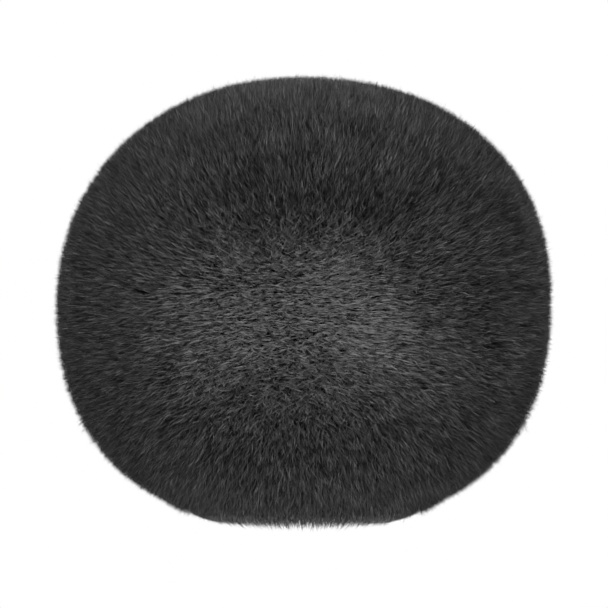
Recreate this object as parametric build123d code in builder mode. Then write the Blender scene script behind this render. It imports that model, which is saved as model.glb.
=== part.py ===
from build123d import *
import os
from math import copysign, cos, radians, sin

# Furry ball windscreen for a slim microphone. A lattice ball wears a layer of open foam and a short-pile
# fur cover. It plugs onto an insert whose rubber boot grips the microphone, and a zip closes the cover
# round the back. Millimetres, +Z up, front towards -Y. The origin is the centre of the boot's lower mouth.

# ---- Driving dimensions ----
BALL_R = 55.0  # half the width over the fur
BALL_HALF_H = 50.0  # half the height over the fur
BALL_Z = 45.0  # centre of the ball above the boot's lower mouth
TOP_POWER = 2.17  # superellipse power of the upper half outline
BOTTOM_POWER = 2.35  # the lower half is squarer
FUR = 8.0  # pile and knitted backing
FOAM = 3.0
BASKET_WALL = 2.5
LAYER_GAP = 0.3  # between one soft or moulded layer and the next
SEAM_GAP = 0.1  # between two pieces sewn or glued edge to edge

MIC_R = 9.9  # boot bore, which stretches onto a 20 mm microphone
BOOT_LENGTH = 16.0
PLUG_R = 18.6
PLUG_FIT = 0.06  # radial clearance of the plug in the basket's neck
PLUG_TOP_Z = 14.0
FLANGE_R = 21.2
FLANGE_Z = 3.0
FLANGE_T = 3.0

CROWN_SEAM_Z = 66.5  # seam between the band and the crown of the cover
ZIP_Z = 20.0  # level of the lower seam, which is the zip round the back
CHANNEL_HALF_H = 5.0  # the pile stops this far above and below the zip
CHANNEL_START = 2.0  # azimuths of the ends of the zip's channel, in degrees from +X towards +Y
CHANNEL_SWEEP = 176.0
SLIDER_AZIMUTH = 22.0  # where the slider rests when the zip is shut

# ---- Layers of the ball, as insets from the outside of the fur ----
FOAM_OUT = FUR + LAYER_GAP
FOAM_IN = FOAM_OUT + FOAM
BASKET_OUT = FOAM_IN + LAYER_GAP
BASKET_IN = BASKET_OUT + BASKET_WALL

# ---- Neck and hem ----
NECK_BORE_R = PLUG_R + PLUG_FIT
NECK_R = NECK_BORE_R + 2.74
NECK_Z = FLANGE_Z + FLANGE_T + SEAM_GAP
HEM_IN_R = FLANGE_R + 0.6
HEM_W = 2.6
HEM_OUT_R = HEM_IN_R + HEM_W
HEM_Z = -1.2
HEM_H = 3.2
HEM_T = 0.5
BASE_HOLE_R = HEM_OUT_R + 0.2
FOAM_HOLE_R = NECK_R + 0.5

# ---- Zip, as distances from the ball's axis and heights from the zip's level ----
SLIT = 0.5  # half the slit between the two rows of teeth
TOOTH_H = 1.9
TOOTH_IN_R = 44.05
TOOTH_T = 1.55
TOOTH_W = 1.2
TOOTH_COUNT = 68
TAPE_IN_R = 44.3
TAPE_T = 0.6
CHAIN_START = 6.0  # the teeth end short of the stops
CHAIN_SWEEP = 168.0
STOP_START = 3.6
STOP_SWEEP = 172.8
PLATE_HALF_H = 3.4
PLATE_HALF_ARC = 5.4
INNER_PLATE_R = 43.0
INNER_PLATE_T = 0.8
OUTER_PLATE_R = 46.0
OUTER_PLATE_T = 1.0
PIVOT_R = 48.25  # pull pivot
PIN_R = 0.5
PULL_LENGTH = 14.5
PULL_T = 1.0
PULL_HALF_W = 2.1
PULL_TILT = 5.0  # degrees that the stored pull leans in, so that it lies along the curve of the zip


def radial_plane(azimuth):
    """The upright half plane at an azimuth: its x runs out from the axis and its y runs up."""
    turn = radians(azimuth)
    return Plane(origin=(0, 0, 0), x_dir=(cos(turn), sin(turn), 0), z_dir=(sin(turn), -cos(turn), 0))


def outline(inset, steps=6):
    """Half outline of the ball from its lowest to its highest point, as (radius, height)."""
    points = []
    for step in range(-steps, steps + 1):
        turn = radians(90 * step / steps)
        power = TOP_POWER if step > 0 else BOTTOM_POWER
        out = (BALL_R - inset) * max(cos(turn), 0) ** (2 / power) if abs(step) < steps else 0
        up = (BALL_HALF_H - inset) * abs(sin(turn)) ** (2 / power)
        points.append((out, BALL_Z + copysign(up, turn)))
    return points


def shell(out_inset, in_inset, low, high, hole_r=0, start=0, sweep=360):
    """The stretch of one layer of the ball between two levels, outside a hole round the axis."""
    outer = outline(out_inset)
    inner = outline(in_inset)
    with BuildPart() as layer:
        with BuildSketch(radial_plane(start)):
            with BuildLine():
                Spline(outer, tangents=((1, 0), (-1, 0)))
                Line(outer[-1], outer[0])
            make_face()
            with BuildLine():
                Spline(inner, tangents=((1, 0), (-1, 0)))
                Line(inner[-1], inner[0])
            make_face(mode=Mode.SUBTRACT)
            with Locations(((hole_r + BALL_R + 1) / 2, (low + high) / 2)):
                Rectangle(BALL_R + 1 - hole_r, high - low, mode=Mode.INTERSECT)
        revolve(axis=Axis.Z, revolution_arc=sweep)
    return layer.part


def ring(in_r, out_r, low, high, start=0, sweep=360):
    """A ring, or an arc of one, of rectangular section."""
    with BuildPart() as piece:
        with BuildSketch(radial_plane(start)):
            with Locations(((in_r + out_r) / 2, (low + high) / 2)):
                Rectangle(out_r - in_r, high - low)
        revolve(axis=Axis.Z, revolution_arc=sweep)
    return piece.part


def save(piece, name):
    """Labels a finished piece and writes it under its own name."""
    piece.part.label = name
    export_step(piece.part, f"parts/{name}.step")


os.makedirs("parts", exist_ok=True)

BALL_LOW = BALL_Z - BALL_HALF_H - 1
BALL_HIGH = BALL_Z + BALL_HALF_H + 1

# ==== Insert, which stays on the microphone ====

CLAMP_RING_T = 2.0
BOOT_FLANGE_T = 1.6
BOOT_FLANGE_R = 16.4
BOOT_R = 12.0
SCREW_CIRCLE_R = 14.2
SCREW_R = 1.25
SCREW_HEAD_R = 1.9
SCREW_HEAD_H = 1.4
SEAL_Z = 10.5
SEAL_R = 1.0
GROOVE_DEPTH = 1.5
FLANGE_TOP_Z = FLANGE_Z + FLANGE_T

# Flange and plug, turned as one piece, with a groove for the seal ring
with BuildPart() as insert_plate:
    with BuildSketch(Plane.XY.offset(FLANGE_Z)):
        Circle(FLANGE_R)
        Circle(BOOT_R + 0.2, mode=Mode.SUBTRACT)
    extrude(amount=FLANGE_T)
    chamfer(insert_plate.edges().filter_by(GeomType.CIRCLE).sort_by(Axis.Z)[:1], length=0.4)
    with BuildSketch(Plane.XY.offset(FLANGE_TOP_Z)):
        Circle(PLUG_R)
        Circle(BOOT_FLANGE_R + 0.2, mode=Mode.SUBTRACT)
    extrude(amount=PLUG_TOP_Z - FLANGE_TOP_Z)
    add(ring(PLUG_R - GROOVE_DEPTH, PLUG_R + 1, SEAL_Z - SEAL_R, SEAL_Z + SEAL_R), mode=Mode.SUBTRACT)
    with Locations((0, 0, FLANGE_TOP_Z)):
        with PolarLocations(SCREW_CIRCLE_R, 4, start_angle=45):
            Hole(SCREW_R)
save(insert_plate, "insert_plate")

# Soft boot: a sleeve with bellows ribs and a flange that the clamp ring holds down
with BuildPart() as rubber_boot:
    with BuildSketch():
        Circle(BOOT_R)
        Circle(MIC_R, mode=Mode.SUBTRACT)
    extrude(amount=BOOT_LENGTH)
    with BuildSketch(Plane.XY.offset(FLANGE_TOP_Z)):
        Circle(BOOT_FLANGE_R)
        Circle(MIC_R, mode=Mode.SUBTRACT)
    extrude(amount=BOOT_FLANGE_T)
    for rib_groove_z in (11.2, 13.2):
        add(ring(BOOT_R - 0.7, BOOT_R + 1, rib_groove_z, rib_groove_z + 1), mode=Mode.SUBTRACT)
    fillet(rubber_boot.edges().filter_by(GeomType.CIRCLE).sort_by(Axis.Z)[:1], radius=0.5)
    with Locations((0, 0, FLANGE_TOP_Z + BOOT_FLANGE_T)):
        with PolarLocations(SCREW_CIRCLE_R, 4, start_angle=45):
            Hole(SCREW_R + 0.1, depth=BOOT_FLANGE_T)
save(rubber_boot, "rubber_boot")

CLAMP_Z = FLANGE_TOP_Z + BOOT_FLANGE_T
with BuildPart() as boot_clamp_ring:
    with BuildSketch(Plane.XY.offset(CLAMP_Z)):
        Circle(BOOT_FLANGE_R)
        Circle(BOOT_R + 0.1, mode=Mode.SUBTRACT)
        with PolarLocations(SCREW_CIRCLE_R, 4, start_angle=45):
            Circle(SCREW_R + 0.1, mode=Mode.SUBTRACT)
    extrude(amount=CLAMP_RING_T)
    chamfer(boot_clamp_ring.faces().sort_by(Axis.Z)[-1].outer_wire().edges(), length=0.4)
save(boot_clamp_ring, "boot_clamp_ring")

# Pan-head screws with a cross recess
HEAD_Z = CLAMP_Z + CLAMP_RING_T
with BuildPart() as clamp_screws:
    with Locations((0, 0, 0)):
        with PolarLocations(SCREW_CIRCLE_R, 4, start_angle=45):
            with Locations((0, 0, FLANGE_Z + 0.4)):
                Cylinder(SCREW_R - 0.02, HEAD_Z - FLANGE_Z - 0.4, align=(Align.CENTER, Align.CENTER, Align.MIN))
            with Locations((0, 0, HEAD_Z)):
                Cylinder(SCREW_HEAD_R, SCREW_HEAD_H, align=(Align.CENTER, Align.CENTER, Align.MIN))
            with Locations((0, 0, HEAD_Z + SCREW_HEAD_H)):
                Box(2.2, 0.5, 1.4, mode=Mode.SUBTRACT)
                Box(0.5, 2.2, 1.4, mode=Mode.SUBTRACT)
save(clamp_screws, "clamp_screws")

# Seal ring, which grips the neck when the ball is pushed on
with BuildPart() as seal_ring:
    with BuildSketch(radial_plane(0)):
        with Locations((PLUG_R - SEAL_R + 0.03, SEAL_Z)):
            Circle(SEAL_R - 0.05)
        with Locations((PLUG_R - GROOVE_DEPTH / 2, SEAL_Z)):
            Rectangle(GROOVE_DEPTH - 0.04, 2 * SEAL_R, mode=Mode.INTERSECT)
    revolve(axis=Axis.Z)
save(seal_ring, "seal_ring")

# ==== Ball: moulded lattice in two halves ====

RIB_W = 2.2
RIB_PLANES = 6  # each plane through the axis makes two ribs
RIM_IN_R = BALL_R - BASKET_IN - 1.2
LIP_T = 1.1
LIP_H = 3.0

# Collar that the insert pushes into, glued into the lower half
with BuildPart() as basket_neck:
    add(ring(NECK_BORE_R, NECK_R, NECK_Z, PLUG_TOP_Z))
save(basket_neck, "basket_neck")

# Lower half: ribs and hoops cut to the ball's curve, and a lip that the upper half snaps over
with BuildPart() as lower_basket:
    with Locations((0, 0, BALL_Z)):
        with PolarLocations(0, RIB_PLANES, angular_range=180):
            Box(2 * BALL_R, RIB_W, 2 * BALL_R)
    for hoop_z in (20.0, 32.0, 43.9):
        with Locations((0, 0, hoop_z)):
            Cylinder(BALL_R, RIB_W)
    add(shell(BASKET_OUT, BASKET_IN, BALL_LOW, BALL_Z, hole_r=NECK_R), mode=Mode.INTERSECT)
    add(ring(RIM_IN_R, BALL_R - BASKET_OUT - 1, BALL_Z - RIB_W, BALL_Z))
    add(ring(RIM_IN_R, RIM_IN_R + LIP_T, BALL_Z - RIB_W, BALL_Z + LIP_H))
save(lower_basket, "lower_basket")

# Upper half, with a boss at the pole where the ribs meet
with BuildPart() as upper_basket:
    with Locations((0, 0, BALL_Z)):
        with PolarLocations(0, RIB_PLANES, angular_range=180):
            Box(2 * BALL_R, RIB_W, 2 * BALL_R)
    for hoop_z in (46.2, 58.0, 69.5):
        with Locations((0, 0, hoop_z)):
            Cylinder(BALL_R, RIB_W)
    with Locations((0, 0, BALL_HIGH)):
        Cylinder(7, 4 * BASKET_IN)
    add(shell(BASKET_OUT, BASKET_IN, BALL_Z + SEAM_GAP, BALL_HIGH), mode=Mode.INTERSECT)
save(upper_basket, "upper_basket")

# ==== Foam layer, in two cups ====

with BuildPart() as lower_foam:
    add(shell(FOAM_OUT, FOAM_IN, BALL_LOW, BALL_Z - SEAM_GAP, hole_r=FOAM_HOLE_R))
save(lower_foam, "lower_foam")

with BuildPart() as upper_foam:
    add(shell(FOAM_OUT, FOAM_IN, BALL_Z + SEAM_GAP, BALL_HIGH))
save(upper_foam, "upper_foam")

# ==== Fur cover: crown, four band panels and base, with a channel for the zip ====

zip_channel = ring(
    BALL_R - FOAM_OUT - 8, BALL_R + 2, ZIP_Z - CHANNEL_HALF_H, ZIP_Z + CHANNEL_HALF_H,
    start=CHANNEL_START, sweep=CHANNEL_SWEEP,
)
BAND_LOW = ZIP_Z + SEAM_GAP
BAND_HIGH = CROWN_SEAM_Z - SEAM_GAP
SEAM_TURN = 0.1  # degrees that each panel's edge stands back from its upright seam

with BuildPart() as crown_panel:
    add(shell(0, FUR, CROWN_SEAM_Z, BALL_HIGH))
save(crown_panel, "crown_panel")

with BuildPart() as base_panel:
    add(shell(0, FUR, BALL_LOW, ZIP_Z, hole_r=BASE_HOLE_R))
    add(zip_channel, mode=Mode.SUBTRACT)
save(base_panel, "base_panel")

for panel_name, seam_azimuth, panel_sweep in (
    ("front_panel", -136, 92),
    ("right_panel", -44, 88),
    ("back_panel", 44, 92),
    ("left_panel", 136, 88),
):
    with BuildPart() as band_panel:
        add(shell(0, FUR, BAND_LOW, BAND_HIGH, start=seam_azimuth + SEAM_TURN, sweep=panel_sweep - 2 * SEAM_TURN))
        add(zip_channel, mode=Mode.SUBTRACT)
    save(band_panel, panel_name)

# Bound hem round the opening, folded up round an elastic ring
with BuildPart() as hem_binding:
    add(ring(HEM_IN_R, HEM_OUT_R, HEM_Z, HEM_Z + HEM_H))
    add(ring(HEM_IN_R + HEM_T, HEM_OUT_R - HEM_T, HEM_Z + HEM_T, HEM_Z + HEM_H + 1), mode=Mode.SUBTRACT)
save(hem_binding, "hem_binding")

with BuildPart() as hem_elastic:
    with BuildSketch(radial_plane(0)):
        with Locations((HEM_IN_R + HEM_W / 2, HEM_Z + HEM_T + 0.8)):
            Circle(0.7)
    revolve(axis=Axis.Z)
save(hem_elastic, "hem_elastic")

# ==== Zip: a tape and a row of teeth on each side of the slit ====

TAPE_H = CHANNEL_HALF_H - SLIT - TOOTH_H - 0.05
for row_name, side in (("upper", 1), ("lower", -1)):
    tape_edges = sorted(ZIP_Z + side * height for height in (SLIT + TOOTH_H, SLIT + TOOTH_H + TAPE_H))
    with BuildPart() as zip_tape:
        add(ring(TAPE_IN_R, TAPE_IN_R + TAPE_T, *tape_edges, start=CHANNEL_START + 1, sweep=CHANNEL_SWEEP - 2))
    save(zip_tape, f"{row_name}_zip_tape")
    with BuildPart() as zip_teeth:
        with Locations((0, 0, ZIP_Z + side * (SLIT + TOOTH_H / 2))):
            with PolarLocations(
                TOOTH_IN_R + TOOTH_T / 2, TOOTH_COUNT, start_angle=CHAIN_START + side * 0.6,
                angular_range=CHAIN_SWEEP, endpoint=True,
            ):
                Box(TOOTH_T, TOOTH_W, TOOTH_H)
    save(zip_teeth, f"{row_name}_zip_teeth")

# Crimped stops at both ends of both rows
with BuildPart() as zip_stops:
    for side in (-1, 1):
        with Locations((0, 0, ZIP_Z + side * (SLIT + TOOTH_H / 2))):
            with PolarLocations(
                TOOTH_IN_R + TOOTH_T / 2, 2, start_angle=STOP_START, angular_range=STOP_SWEEP, endpoint=True,
            ):
                Box(TOOTH_T + 0.4, 1.4, TOOTH_H)
save(zip_stops, "zip_stops")

# Slider: plates inside and outside the chain, joined by a divider that runs in the slit
PLATE_START = SLIDER_AZIMUTH - PLATE_HALF_ARC
OUTER_FACE_R = OUTER_PLATE_R + OUTER_PLATE_T
EAR_T = 1.0
EAR_Z = PULL_HALF_W + 0.2
with BuildPart() as zip_slider:
    for plate_r, plate_t in ((INNER_PLATE_R, INNER_PLATE_T), (OUTER_PLATE_R, OUTER_PLATE_T)):
        add(ring(
            plate_r, plate_r + plate_t, ZIP_Z - PLATE_HALF_H, ZIP_Z + PLATE_HALF_H,
            start=PLATE_START, sweep=2 * PLATE_HALF_ARC,
        ))
    add(ring(
        INNER_PLATE_R, OUTER_FACE_R, ZIP_Z - 0.3, ZIP_Z + 0.3, start=SLIDER_AZIMUTH + 1.5, sweep=3,
    ))
    for side in (-1, 1):
        lip = sorted((ZIP_Z + side * (PLATE_HALF_H - 0.6), ZIP_Z + side * PLATE_HALF_H))
        add(ring(OUTER_PLATE_R - 0.7, OUTER_FACE_R, *lip, start=PLATE_START, sweep=2 * PLATE_HALF_ARC))
        ear = sorted((ZIP_Z + side * EAR_Z, ZIP_Z + side * (EAR_Z + EAR_T)))
        add(ring(OUTER_FACE_R - 0.2, PIVOT_R + 0.9, *ear, start=SLIDER_AZIMUTH - 1.4, sweep=2.8))
    with BuildSketch(Plane.XY.offset(ZIP_Z - EAR_Z - EAR_T)):
        with PolarLocations(PIVOT_R, 1, start_angle=SLIDER_AZIMUTH):
            Circle(PIN_R + 0.02)
    extrude(amount=2 * (EAR_Z + EAR_T), mode=Mode.SUBTRACT)
save(zip_slider, "zip_slider")

with BuildPart() as pull_pin:
    with BuildSketch(Plane.XY.offset(ZIP_Z - EAR_Z - EAR_T)):
        with PolarLocations(PIVOT_R, 1, start_angle=SLIDER_AZIMUTH):
            Circle(PIN_R)
    extrude(amount=2 * (EAR_Z + EAR_T))
save(pull_pin, "pull_pin")

# Pull: a flat tab on a barrel round the pin, with a finger hole near its end
pull_turn = radians(SLIDER_AZIMUTH)
pull_plane = Plane(
    origin=(PIVOT_R * cos(pull_turn), PIVOT_R * sin(pull_turn), ZIP_Z - PULL_HALF_W),
    x_dir=(cos(radians(SLIDER_AZIMUTH + 90 + PULL_TILT)), sin(radians(SLIDER_AZIMUTH + 90 + PULL_TILT)), 0),
    z_dir=(0, 0, 1),
)
with BuildPart() as zip_pull:
    with BuildSketch(pull_plane):
        Circle(PIN_R + 0.5)
        with Locations((PULL_LENGTH / 2, 0)):
            Rectangle(PULL_LENGTH, PULL_T)
        Circle(PIN_R + 0.05, mode=Mode.SUBTRACT)
    extrude(amount=2 * PULL_HALF_W)
    tab_end = zip_pull.faces().sort_by(Axis(pull_plane.origin, pull_plane.x_dir))[-1]
    fillet(tab_end.edges().filter_by(lambda edge: edge.length < PULL_T + 0.01), radius=PULL_HALF_W - 0.3)
    hole_plane = Plane(
        origin=pull_plane.from_local_coords((PULL_LENGTH - 3.6, -PULL_T, PULL_HALF_W)),
        x_dir=pull_plane.x_dir, z_dir=pull_plane.y_dir,
    )
    with BuildSketch(hole_plane):
        SlotOverall(3.6, 2.0)
    extrude(amount=2 * PULL_T, mode=Mode.SUBTRACT)
save(zip_pull, "zip_pull")
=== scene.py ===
import bpy
from math import pi, radians

import numpy as np
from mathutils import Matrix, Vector


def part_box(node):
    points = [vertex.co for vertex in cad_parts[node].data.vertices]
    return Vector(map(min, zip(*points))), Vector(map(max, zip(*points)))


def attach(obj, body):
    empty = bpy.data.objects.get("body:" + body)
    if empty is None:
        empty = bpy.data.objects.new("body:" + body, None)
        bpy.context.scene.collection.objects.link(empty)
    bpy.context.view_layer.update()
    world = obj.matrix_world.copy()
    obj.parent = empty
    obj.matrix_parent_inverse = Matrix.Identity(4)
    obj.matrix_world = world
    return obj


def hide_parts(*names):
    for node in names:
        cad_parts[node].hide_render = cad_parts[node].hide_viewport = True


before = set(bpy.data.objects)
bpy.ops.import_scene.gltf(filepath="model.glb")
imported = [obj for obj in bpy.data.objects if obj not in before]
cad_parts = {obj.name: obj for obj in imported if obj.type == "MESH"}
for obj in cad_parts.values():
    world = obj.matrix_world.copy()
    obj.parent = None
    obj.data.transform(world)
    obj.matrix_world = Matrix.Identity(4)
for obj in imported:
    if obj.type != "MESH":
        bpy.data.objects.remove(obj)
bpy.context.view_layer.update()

# Looks of the furry ball windscreen. Metres, +Z up, front towards -Y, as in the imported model.
MM = 0.001

# ---- Places and sizes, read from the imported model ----
BALL_R = float(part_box("right_panel")[1][0])
BALL_Z = float(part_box("upper_foam")[0][2])
HALF_H = float(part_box("crown_panel")[1][2]) - BALL_Z
CROWN_Z = float(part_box("crown_panel")[0][2])
SEAM_Z = float(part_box("front_panel")[0][2])
CHANNEL_LOW = float(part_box("lower_zip_tape")[0][2])
CHANNEL_HIGH = float(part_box("upper_zip_tape")[1][2])
HEM_LOW, HEM_HIGH = (np.array(corner, float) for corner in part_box("hem_binding"))
HEM_OUT_R = float(HEM_HIGH[0])
HEM_IN_R = HEM_OUT_R - 2.6 * MM  # the fold is that wide
TOP_POWER = 2.17  # superellipse powers of the ball's outline
BOTTOM_POWER = 2.41
SKEW = 1.5 * MM  # the upper half of the stuffed cover leans a little to the right
CHANNEL_ENDS = (radians(2), radians(178))
SIDE_SEAMS = (radians(-136), radians(-44), radians(44), radians(136))
BAND_PANELS = ("front_panel", "right_panel", "back_panel", "left_panel")
PANEL_SWEEPS = (radians(92), radians(88), radians(92), radians(88))


# ---- Camera and light ----
CAMERA_FAR = 1.5
VIEW_WIDE = 0.1348  # width of the picture at the ball's middle
AIM_ASIDE, AIM_DOWN = 0.0001, 0.0004  # the picture's middle, seen from the ball's
FLOOR_R, FLOOR_Z = 0.9, -0.16
FILL, BACKDROP = 0.12, 1.0  # strength of the world as light on the object, and to the eye
LAMP_WIDE = 0.5
LAMPS = (  # name, place and watts
    ("key_left", (-0.75, -1.0, BALL_Z), 14),
    ("key_right", (0.75, -1.0, BALL_Z), 14),
    ("key_top", (0, -0.95, BALL_Z + 0.8), 17),
    ("key_low", (0, -0.95, BALL_Z - 0.8), 21),
    ("back_left", (-0.7, 1.5, 0.5), 26),
    ("back_right", (0.7, 1.5, 0.5), 26),
    ("back_low", (0, 1.5, -0.5), 12),
)


def look_at(obj, target):
    """Turns a camera or light to face a point."""
    obj.rotation_euler = (Vector(target) - obj.location).to_track_quat("-Z", "Y").to_euler()


def make_camera():
    """A long lens, level with the ball's middle, straight in front."""
    aim = Vector((AIM_ASIDE, 0, BALL_Z - AIM_DOWN))
    data = bpy.data.cameras.new("camera")
    data.sensor_width = 36
    data.lens = data.sensor_width * CAMERA_FAR / VIEW_WIDE
    data.clip_start, data.clip_end = 0.05, 20
    camera = bpy.data.objects.new("camera", data)
    bpy.context.collection.objects.link(camera)
    camera.location = aim + Vector((0, -CAMERA_FAR, 0))
    look_at(camera, aim)
    bpy.context.scene.camera = camera


def make_lamp(name, place, watts):
    """One soft square lamp that faces the ball."""
    data = bpy.data.lights.new(name, "AREA")
    data.size = LAMP_WIDE
    data.energy = watts
    lamp = bpy.data.objects.new(name, data)
    bpy.context.collection.objects.link(lamp)
    lamp.location = place
    look_at(lamp, (0, 0, BALL_Z))


def make_world():
    """White backdrop to the eye, and a dim even fill on the object."""
    world = bpy.data.worlds.new("studio")
    bpy.context.scene.world = world
    world.use_nodes = True
    tree = world.node_tree
    tree.nodes.clear()
    path = tree.nodes.new("ShaderNodeLightPath")
    fill = tree.nodes.new("ShaderNodeBackground")
    fill.inputs["Color"].default_value = (1, 1, 1, 1)
    fill.inputs["Strength"].default_value = FILL
    seen = tree.nodes.new("ShaderNodeBackground")
    seen.inputs["Color"].default_value = (1, 1, 1, 1)
    seen.inputs["Strength"].default_value = BACKDROP
    mix = tree.nodes.new("ShaderNodeMixShader")
    out = tree.nodes.new("ShaderNodeOutputWorld")
    tree.links.new(path.outputs["Is Camera Ray"], mix.inputs[0])
    tree.links.new(fill.outputs[0], mix.inputs[1])
    tree.links.new(seen.outputs[0], mix.inputs[2])
    tree.links.new(mix.outputs[0], out.inputs["Surface"])


def make_stage():
    """A pale round floor below the ball, which is held up by its microphone."""
    bpy.ops.mesh.primitive_circle_add(vertices=96, radius=FLOOR_R, fill_type="NGON", location=(0, 0, FLOOR_Z))
    floor = bpy.context.object
    floor.name = "floor"
    paint = bpy.data.materials.new("floor")
    paint.use_nodes = True
    paint.node_tree.nodes["Principled BSDF"].inputs["Base Color"].default_value = (0.85, 0.85, 0.85, 1)
    paint.node_tree.nodes["Principled BSDF"].inputs["Roughness"].default_value = 0.9
    # seen from above only, so that it doesn't hide the underside
    tree = paint.node_tree
    side = tree.nodes.new("ShaderNodeNewGeometry")
    clear = tree.nodes.new("ShaderNodeBsdfTransparent")
    mix = tree.nodes.new("ShaderNodeMixShader")
    tree.links.new(side.outputs["Backfacing"], mix.inputs[0])
    tree.links.new(tree.nodes["Principled BSDF"].outputs[0], mix.inputs[1])
    tree.links.new(clear.outputs[0], mix.inputs[2])
    tree.links.new(mix.outputs[0], tree.nodes["Material Output"].inputs["Surface"])
    floor.data.materials.append(paint)


make_camera()
make_world()
make_stage()
bpy.context.scene.view_settings.view_transform = "Standard"
for lamp_name, lamp_place, lamp_watts in LAMPS:
    make_lamp(lamp_name, lamp_place, lamp_watts)


# ---- The ball's surface ----
def surface(turn, tilt, inset):
    """Points and outward normals of the ball at azimuth turn and outline angle tilt, set in by inset."""
    power = np.where(tilt > 0, TOP_POWER, BOTTOM_POWER)
    wide, tall = BALL_R - inset, HALF_H - inset
    out = wide * np.maximum(np.cos(tilt), 0) ** (2 / power)
    up = tall * np.abs(np.sin(tilt)) ** (2 / power) * np.sign(tilt)
    lean_out = (out / wide) ** (power - 1) / wide
    lean_up = (np.abs(up) / tall) ** (power - 1) / tall * np.sign(tilt)
    length = np.hypot(lean_out, lean_up)
    normal = np.stack([lean_out * np.cos(turn), lean_out * np.sin(turn), lean_up], -1) / length[..., None]
    point = np.stack([out * np.cos(turn), out * np.sin(turn), up], -1)
    fade = np.where(tilt > 0, 1 - (point[..., 2] / tall) ** 4, 0)
    skew = SKEW * fade * point[..., 0] * point[..., 2] / np.maximum((point ** 2).sum(-1), 1e-9)
    point = point + normal * skew[..., None]
    point[..., 2] += BALL_Z
    return point, normal


def tilt_at(level, inset=0.0):
    """The outline angle at a height, on the surface set in by inset."""
    up = (np.asarray(level, float) - BALL_Z) / (HALF_H - inset)
    power = np.where(up > 0, TOP_POWER, BOTTOM_POWER)
    return np.arcsin(np.clip(np.abs(up), 0, 1) ** (power / 2)) * np.sign(up)


def tilt_at_radius(radius, inset=0.0):
    """The outline angle on the lower half at a distance from the axis."""
    return -np.arccos((radius / (BALL_R - inset)) ** (BOTTOM_POWER / 2))


def waves(points, length, seed, count=5):
    """A smooth field over space, from about -1 to 1, whose features are about that long."""
    rng = np.random.default_rng(seed)
    field = np.zeros(len(points))
    for _ in range(count):
        way = rng.normal(size=3)
        way *= 2 * pi / length / np.linalg.norm(way) * rng.uniform(0.6, 1.4)
        field += np.sin(points @ way + rng.uniform(0, 2 * pi))
    return field / np.sqrt(count / 2) / 1.6


def smooth(low, high, value):
    """0 below low, 1 above high, and a smooth step between."""
    t = np.clip((value - low) / (high - low), 0, 1)
    return t * t * (3 - 2 * t)


def unit(vectors):
    """The same directions, one long."""
    return vectors / np.maximum(np.linalg.norm(vectors, axis=-1, keepdims=True), 1e-12)


def in_channel(turn):
    """True where the zip's channel runs, round the back."""
    return (turn > CHANNEL_ENDS[0]) & (turn < CHANNEL_ENDS[1])


def wrap(turn):
    """An azimuth as -180 to 180 degrees, in radians."""
    return (turn + pi) % (2 * pi) - pi


# ---- Mesh and material helpers ----
def new_mesh(name, points, faces, materials, body, index=None, smooth_faces=True):
    """A mesh piece that rides on a body. faces is a list of equal-sided face arrays."""
    mesh = bpy.data.meshes.new(name)
    loops = np.concatenate([f.ravel() for f in faces]).astype(np.int32)
    sizes = np.concatenate([np.full(len(f), f.shape[1], np.int32) for f in faces])
    starts = np.concatenate([[0], np.cumsum(sizes)[:-1]]).astype(np.int32)
    mesh.vertices.add(len(points))
    mesh.vertices.foreach_set("co", np.asarray(points, np.float32).ravel())
    mesh.loops.add(len(loops))
    mesh.loops.foreach_set("vertex_index", loops)
    mesh.polygons.add(len(sizes))
    mesh.polygons.foreach_set("loop_start", starts)
    for material in materials:
        mesh.materials.append(material)
    if index is not None:
        mesh.polygons.foreach_set("material_index", np.asarray(index, np.int32))
    mesh.polygons.foreach_set("use_smooth", np.full(len(sizes), smooth_faces))
    mesh.update(calc_edges=True)
    mesh.validate()
    piece = bpy.data.objects.new(name, mesh)
    bpy.context.collection.objects.link(piece)
    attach(piece, body)
    return piece


def new_material(name, colour, roughness, specular=0.3):
    """A Principled material, its node tree and its shader."""
    material = bpy.data.materials.new(name)
    material.use_nodes = True
    tree = material.node_tree
    shader = tree.nodes["Principled BSDF"]
    shader.inputs["Base Color"].default_value = (*colour, 1)
    shader.inputs["Roughness"].default_value = roughness
    shader.inputs["Specular IOR Level"].default_value = specular
    return material, tree, shader


# ---- Procedural materials ----
def object_space(tree, scale):
    """Object coordinates, scaled."""
    place = tree.nodes.new("ShaderNodeTexCoord")
    mapping = tree.nodes.new("ShaderNodeMapping")
    mapping.inputs["Scale"].default_value = scale
    tree.links.new(place.outputs["Object"], mapping.inputs["Vector"])
    return mapping.outputs["Vector"]


def noise(tree, vector, scale, detail=3):
    """A cloudy pattern."""
    node = tree.nodes.new("ShaderNodeTexNoise")
    node.inputs["Scale"].default_value = scale
    node.inputs["Detail"].default_value = detail
    tree.links.new(vector, node.inputs["Vector"])
    return node.outputs["Fac"]


def cells(tree, vector, scale):
    """A pattern of round cells."""
    node = tree.nodes.new("ShaderNodeTexVoronoi")
    node.inputs["Scale"].default_value = scale
    tree.links.new(vector, node.inputs["Vector"])
    return node.outputs["Distance"]


def bands(tree, vector, scale, direction, distortion=0.0):
    """A pattern of ribs."""
    node = tree.nodes.new("ShaderNodeTexWave")
    node.bands_direction = direction
    node.inputs["Scale"].default_value = scale
    node.inputs["Distortion"].default_value = distortion
    tree.links.new(vector, node.inputs["Vector"])
    return node.outputs["Fac"]


def ramp(tree, factor, stops):
    """Colours at places along a ramp."""
    node = tree.nodes.new("ShaderNodeValToRGB")
    while len(node.color_ramp.elements) < len(stops):
        node.color_ramp.elements.new(0.5)
    for element, (place, colour) in zip(node.color_ramp.elements, stops):
        element.position = place
        element.color = (*colour, 1)
    tree.links.new(factor, node.inputs["Fac"])
    return node.outputs["Color"]


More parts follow.
